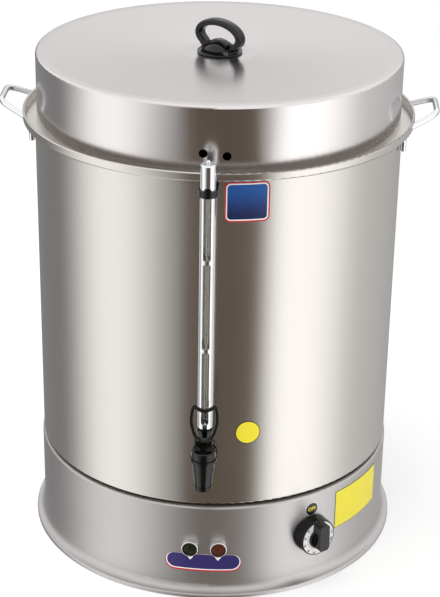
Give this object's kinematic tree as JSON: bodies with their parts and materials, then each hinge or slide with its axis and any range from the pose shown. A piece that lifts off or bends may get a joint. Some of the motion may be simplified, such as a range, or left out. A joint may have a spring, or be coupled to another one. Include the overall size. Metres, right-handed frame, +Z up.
{
  "type": "hot water urn",
  "caption": "Electric hot water urn: double-walled stainless tank on a base skirt, lift-off lid, side handles, front tap with a sight gauge, thermostat knob and pilot lamps.",
  "frame": {"origin": "on the tank's axis in the plane of the base hem that the urn rests on", "axes": "+Z up, the tap and the controls face -Y, the handles lie along X"},
  "size_m": [0.5364, 0.5357, 0.671],
  "materials": {
    "brushed_stainless": "brushed round the tank",
    "plain_stainless": "mill finish",
    "element_sheath": "heat-tinted",
    "chromed_steel": "polished",
    "brass_fittings": "turned",
    "black_phenolic": "moulded, polished",
    "black_nylon": "moulded",
    "rubber_seals": "moulded",
    "silicone_cup": "moulded silicone",
    "gauge_glass": "drawn tube",
    "green_lens": "moulded, translucent",
    "amber_lens": "moulded, translucent",
    "white_dial": "printed",
    "switch_housing": "moulded",
    "cutout_housing": "moulded phenolic",
    "terminal_plastic": "moulded"
  },
  "bodies": {
    "tank": {"base_skirt": "brushed_stainless", "support_ring": "plain_stainless", "bottom_cover": "plain_stainless", "cover_brackets": "plain_stainless", "cover_screws": "chromed_steel", "water_vessel": "plain_stainless", "outer_jacket": "brushed_stainless", "rim_gutter": "brushed_stainless", "handle_left": "chromed_steel", "handle_right": "chromed_steel", "heating_element": "element_sheath", "element_necks": "brass_fittings", "element_gaskets": "rubber_seals", "gland_nuts": "brass_fittings", "bulb_pocket": "plain_stainless", "thermostat_bulb": "brass_fittings", "thermostat_body": "switch_housing", "thermostat_screws": "chromed_steel", "dry_boil_cutout": "cutout_housing", "cutout_strap": "plain_stainless", "cutout_studs": "brass_fittings", "green_bezel": "chromed_steel", "green_lens": "green_lens", "green_barrel": "black_nylon", "amber_bezel": "chromed_steel", "amber_lens": "amber_lens", "amber_barrel": "black_nylon", "lamp_nuts": "plain_stainless", "terminal_bracket": "plain_stainless", "terminal_block": "terminal_plastic", "earth_stud": "brass_fittings", "earth_nuts": "brass_fittings", "inlet_gland": "black_nylon", "inlet_cap": "black_nylon", "inlet_seal": "rubber_seals", "inlet_locknut": "black_nylon", "tap_shank": "black_phenolic", "tap_gaskets": "rubber_seals", "tap_spacer": "plain_stainless", "tap_nut": "brass_fittings", "tap_body": "black_phenolic", "tap_bonnet": "black_phenolic", "gauge_lower_seal": "rubber_seals", "gauge_glass": "gauge_glass", "gauge_guard": "chromed_steel", "gauge_upper_seal": "rubber_seals", "gauge_cap": "chromed_steel", "gauge_clip": "black_phenolic", "clip_screw": "chromed_steel", "valve_spring": "chromed_steel"},
    "lid": {"lid_shell": "brushed_stainless", "knob_rosette": "black_phenolic", "knob_loop": "black_phenolic", "knob_screws": "chromed_steel"},
    "dial": {"dial_knob": "black_phenolic", "dial_ring": "white_dial"},
    "valve": {"valve_stem": "black_nylon", "seat_cup": "silicone_cup"},
    "lever": {"tap_lever": "black_phenolic", "lever_pin": "chromed_steel"}
  },
  "joints": [
    {"name": "lid_lift", "type": "slide", "parent": "tank", "child": "lid", "axis": [0, 0, 1], "range_m": [0, 0.3]},
    {"name": "dial_turn", "type": "hinge", "parent": "tank", "child": "dial", "pos_m": [0.131, -0.18502, 0.071], "axis": [-0.5779, 0.8161, 0], "range_deg": [0, 270]},
    {"name": "stem_lift", "type": "slide", "parent": "tank", "child": "valve", "axis": [0, 0, 1], "range_m": [0, 0.0035], "stiffness_N_per_m": 0.002, "springref_m": 46.3316, "deforming": ["valve_spring"]},
    {"name": "lever_pull", "type": "hinge", "parent": "valve", "child": "lever", "pos_m": [0, -0.275, 0.2403], "axis": [1, 0, 0], "range_deg": [0, 40], "stiffness_Nm_per_rad": 0.02, "springref_deg": -68.75}
  ],
  "couplings": [
    {"joint": "stem_lift", "follows": "lever_pull", "m_per_rad": 0.0050134}
  ]
}
